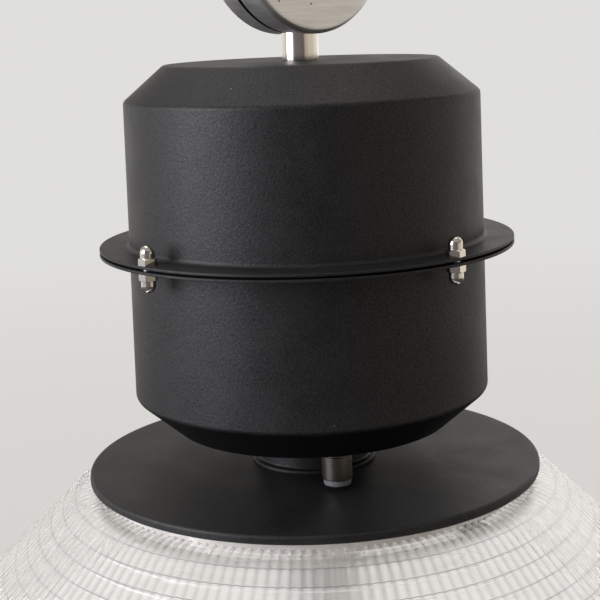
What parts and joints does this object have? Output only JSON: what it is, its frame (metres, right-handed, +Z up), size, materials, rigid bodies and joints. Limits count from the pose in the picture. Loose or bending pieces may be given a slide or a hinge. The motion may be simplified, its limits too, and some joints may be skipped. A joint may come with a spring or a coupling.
{
  "type": "industrial pendant lamp",
  "caption": "Hanging lamp with an eye, a round two-part hanger, a flanged black gear can and a bell-shaped prismatic glass around a screw-in bulb.",
  "frame": {"origin": "centre of the hanging eye's hole", "axes": "+Z up along the lamp's axis, +Y along the eye's hole to the hanger's rear, the hanger's face towards -Y, +X to the right seen from the front"},
  "size_m": [0.4024, 0.4024, 0.5161],
  "materials": {
    "cast_aluminium": "cast and brushed aluminium, satin, with fine scratches",
    "forged_steel": "forged steel, bright zinc plating",
    "polished_nickel": "polished nickel plating",
    "brushed_nickel": "brushed nickel plating",
    "zinc_steel": "zinc-plated steel",
    "black_powder": "black powder coat with a fine texture",
    "white_enamel": "white enamel",
    "black_rubber": "black rubber",
    "pale_rubber": "pale silicone rubber",
    "laminations": "varnished steel laminations",
    "coil_copper": "varnished copper winding",
    "capacitor_can": "drawn aluminium can",
    "ivory_plastic": "ivory moulded plastic",
    "white_plastic": "white moulded plastic",
    "black_plastic": "black insulator",
    "porcelain": "white glazed porcelain",
    "terminal_ceramic": "unglazed ceramic",
    "brass": "plain brass",
    "cap_metal": "rolled aluminium screw cap",
    "prismatic_glass": "clear pressed glass with fine upright ribs outside and ring prisms inside",
    "bulb_glass": "frosted bulb glass"
  },
  "bodies": {
    "fixture": {"hanging_eye": "forged_steel", "eye_nut": "zinc_steel", "hanger_front_half": "cast_aluminium", "hanger_rear_half": "cast_aluminium", "hanger_screws": "zinc_steel", "entry_grommet": "black_rubber", "stem_sleeve": "polished_nickel", "stem_nipple": "zinc_steel", "stem_nuts": "zinc_steel", "can_stiffener": "zinc_steel", "upper_can": "black_powder", "lower_can": "black_powder", "flange_gasket": "black_rubber", "flange_studs": "zinc_steel", "upper_cap_nuts": "polished_nickel", "lower_cap_nuts": "polished_nickel", "gear_spacers": "zinc_steel", "gear_tray": "zinc_steel", "gear_screws": "zinc_steel", "ballast_core": "laminations", "ballast_coil": "coil_copper", "ballast_bracket": "zinc_steel", "ballast_screws": "zinc_steel", "capacitor": "capacitor_can", "ignitor": "ivory_plastic", "terminal_block": "terminal_ceramic", "terminal_screws": "brass", "cord_grip_body": "brushed_nickel", "cord_grip_plug": "white_plastic", "cord_grip_locknut": "brushed_nickel", "neck_collar": "black_powder", "neck_nipple": "zinc_steel", "neck_nuts": "zinc_steel", "top_disc": "black_powder", "reflector_plate": "white_enamel", "glass_gasket": "pale_rubber", "glass_clips": "zinc_steel", "clip_screws": "zinc_steel", "glass_shade": "prismatic_glass", "holder_cap": "black_powder", "holder_body": "porcelain", "holder_shell": "brass", "holder_contact": "brass"},
    "bulb_tip": {"bulb_contact": "cap_metal"},
    "bulb": {"bulb_insulator": "black_plastic", "bulb_cap": "cap_metal", "bulb_glass": "bulb_glass"}
  },
  "joints": [
    {"name": "bulb_travel", "type": "slide", "parent": "fixture", "child": "bulb_tip", "axis": [0, 0, -1], "range_m": [0, 0.01815]},
    {"name": "bulb_turn", "type": "hinge", "parent": "bulb_tip", "child": "bulb", "pos_m": [0, 0, -0.3943], "axis": [0, 0, -1], "range_deg": [0, 1800]}
  ],
  "couplings": [
    {"joint": "bulb_travel", "follows": "bulb_turn", "m_per_rad": 0.00057773}
  ]
}
